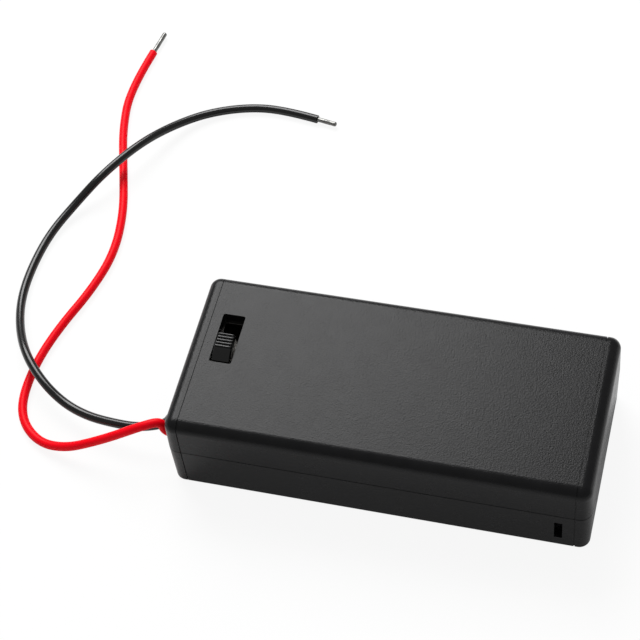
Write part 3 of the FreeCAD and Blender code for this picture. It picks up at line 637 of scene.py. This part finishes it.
def laminate():
    """Black laminate: paper fibres as a fine noise between two near blacks."""
    material = empty_material("black_paper_laminate")
    place = object_place(material)
    fibre = add(material, "ShaderNodeTexNoise", {
        "Vector": place,
        "Scale": per_mm(FIBRE_MM),
        "Detail": 4.0,
    })
    colour = add(material, "ShaderNodeMix", {
        "Factor": fibre.outputs["Fac"],
        "A": linear("#0a0a0a"),
        "B": linear("#141312"),
    }, data_type="RGBA")
    return surface(material, add(material, "ShaderNodeBsdfPrincipled", {
        "Base Color": colour.outputs[2],
        "Roughness": 0.55,
    }))


def switch_acetal():
    """Smooth black acetal: the scuffs are a noise on its roughness."""
    material = empty_material("black_acetal")
    place = object_place(material)
    scuff = add(material, "ShaderNodeTexNoise", {
        "Vector": place,
        "Scale": per_mm(SCUFF_MM),
        "Detail": 4.0,
    })
    rough = add(material, "ShaderNodeMapRange", {
        "Value": scuff.outputs["Fac"],
        "To Min": 0.13,
        "To Max": 0.22,
    })
    return surface(material, add(material, "ShaderNodeBsdfPrincipled", {
        "Base Color": linear("#020202"),
        "Roughness": rough.outputs["Result"],
        "IOR": 1.48,
        "Specular IOR Level": 0.45,
    }))


# %% [markdown]
# ### Give every piece its finish
#
# A CAD node keeps its mesh and gets a material, looked up by the slot that the record gives it. The
# new pieces are looked up by the slot they were declared with.

# %% Give every piece its finish
BY_SLOT = {
    "box_abs": abs_plastic(),
    "knob_plastic": switch_acetal(),
    "phenolic_board": laminate(),
    "plated_steel": metal("nickel_plated_steel", "#6c6a67", 0.2, 1.5),
    "spring_bronze": metal("phosphor_bronze", "#c79a62", 0.28, 1.0),
    "red_pvc": pvc("red_pvc", "#f00018", "#e40012", 0.4, 0.07),
    "black_pvc": pvc("black_pvc", "#141414", "#0c0c0c", 0.2, 0.3),
    "tinned_copper": metal("tinned_copper", "#70706e", 0.34, 1.5),
    "solder": metal("bright_solder", "#cfd0d2", 0.22, 0.8),
}


def finish_with(piece, material):
    """The piece's one material."""
    piece.data.materials.clear()
    piece.data.materials.append(material)


for part in frame["record"]["subparts"]:
    finish_with(frame["nodes"][part["node"]], BY_SLOT[part["material_slot"]])
for piece in [red_lead, black_lead, red_tip, black_tip] + knob_pieces:
    finish_with(piece, BY_SLOT[piece["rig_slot"]])
print("finishes:", [material.name for material in BY_SLOT.values()])

# %% [markdown]
# ### Sheared edges of the switch frame
#
# The frame's slot is punched, and punching draws the edge over a little. That small round is what
# catches the light inside the dark window, as one thin line at the back. The CAD mesh is loose
# triangles, so a Weld modifier joins them first, and a Bevel modifier then rounds the edges.

# %% Sheared edges of the switch frame
WELD_DISTANCE = 0.001
SHEARED_ROUND = 0.08
SHARP_FROM = 40
FLATS_A_ROUND = 3


def round_edges(piece, width):
    """Rounds each edge that turns by more than the sharp angle, in a few flats."""
    weld = piece.modifiers.new("weld", "WELD")
    weld.merge_threshold = WELD_DISTANCE * MM
    bevel = piece.modifiers.new("sheared_edges", "BEVEL")
    bevel.width = width * MM
    bevel.segments = FLATS_A_ROUND
    bevel.limit_method = "ANGLE"
    bevel.angle_limit = math.radians(SHARP_FROM)


round_edges(frame["nodes"]["switch_frame"], SHEARED_ROUND)
print("edges rounded by", SHEARED_ROUND, "mm")

# %% [markdown]
# ## Table and light
#
# The photograph is a pack shot on white. One soft light stands behind the left of the box, where its
# upper face mirrors it towards the camera. The even light of the room adds less than half as much.
# The rounded front edge mirrors only the room, which makes it darker than the faces beside it.

# %% Table
FLOOR_SIZE = 8.0
GLOW_SEEN = 0.9
GLOW_MIRRORED = 0.15


def white_table():
    """White paint that partly glows, by a share that depends on who looks.

    The camera sees it mostly self-lit, so that it is white and keeps a soft shadow. Glossy and clear
    surfaces see it less self-lit, so that the box's own shade shows in them as on a real table.
    """
    material = empty_material("white_table")
    ray = add(material, "ShaderNodeLightPath")
    bounced = add(material, "ShaderNodeMath", {
        0: ray.outputs["Is Glossy Ray"],
        1: ray.outputs["Is Transmission Ray"],
    }, operation="MAXIMUM")
    mirrored = add(material, "ShaderNodeMath", {
        0: bounced.outputs[0],
        1: GLOW_MIRRORED,
    }, operation="MULTIPLY")
    seen = add(material, "ShaderNodeMath", {
        0: ray.outputs["Is Camera Ray"],
        1: GLOW_SEEN,
    }, operation="MULTIPLY")
    share = add(material, "ShaderNodeMath", {
        0: seen.outputs[0],
        1: mirrored.outputs[0],
    }, operation="MAXIMUM")
    paint = add(material, "ShaderNodeBsdfDiffuse", {"Color": linear("#f4f4f4")})
    glow = add(material, "ShaderNodeEmission", {"Color": linear("#ffffff"), "Strength": 1.0})
    return surface(material, add(material, "ShaderNodeMixShader", {
        0: share.outputs[0],
        1: paint.outputs[0],
        2: glow.outputs[0],
    }))


def make_floor():
    """Square table top at z = 0."""
    half = FLOOR_SIZE / 2
    corners = [(-half, -half, 0), (half, -half, 0), (half, half, 0), (-half, half, 0)]
    mesh = bpy.data.meshes.new("table_top")
    mesh.from_pydata(corners, [], [(0, 1, 2, 3)])
    mesh.materials.append(white_table())
    floor = bpy.data.objects.new("table_top", mesh)
    bpy.context.scene.collection.objects.link(floor)
    return floor


make_floor()
print("table top of", FLOOR_SIZE, "m")

# %% Lights
ROOM_LIGHT = 0.4


def area_light(name, azimuth, elevation, distance, size, power):
    """Square soft light on an orbit round the box, facing it.

    Distance and size are in metres and the power is in watts.
    """
    data = bpy.data.lights.new(name, "AREA")
    data.shape = "SQUARE"
    data.size = size
    data.energy = power
    light = bpy.data.objects.new(name, data)
    toward = orbit(azimuth, elevation)
    light.location = toward * distance
    light.rotation_mode = "QUATERNION"
    light.rotation_quaternion = toward.to_track_quat("Z", "Y")
    bpy.context.scene.collection.objects.link(light)
    return light


softbox = area_light(
    "softbox_behind_left", azimuth=212, elevation=47, distance=0.6, size=0.36, power=4.2
)
print("softbox at", [round(c, 2) for c in softbox.location], "m")

# %% Room
room = bpy.data.worlds.new("studio")
bpy.context.scene.world = room
room.use_nodes = True
room.node_tree.nodes.clear()
walls = add(room, "ShaderNodeBackground", {"Color": linear("#ffffff"), "Strength": ROOM_LIGHT})
add(room, "ShaderNodeOutputWorld", {"Surface": walls.outputs[0]})
bpy.context.scene.view_settings.view_transform = "Standard"
print("room light:", ROOM_LIGHT)
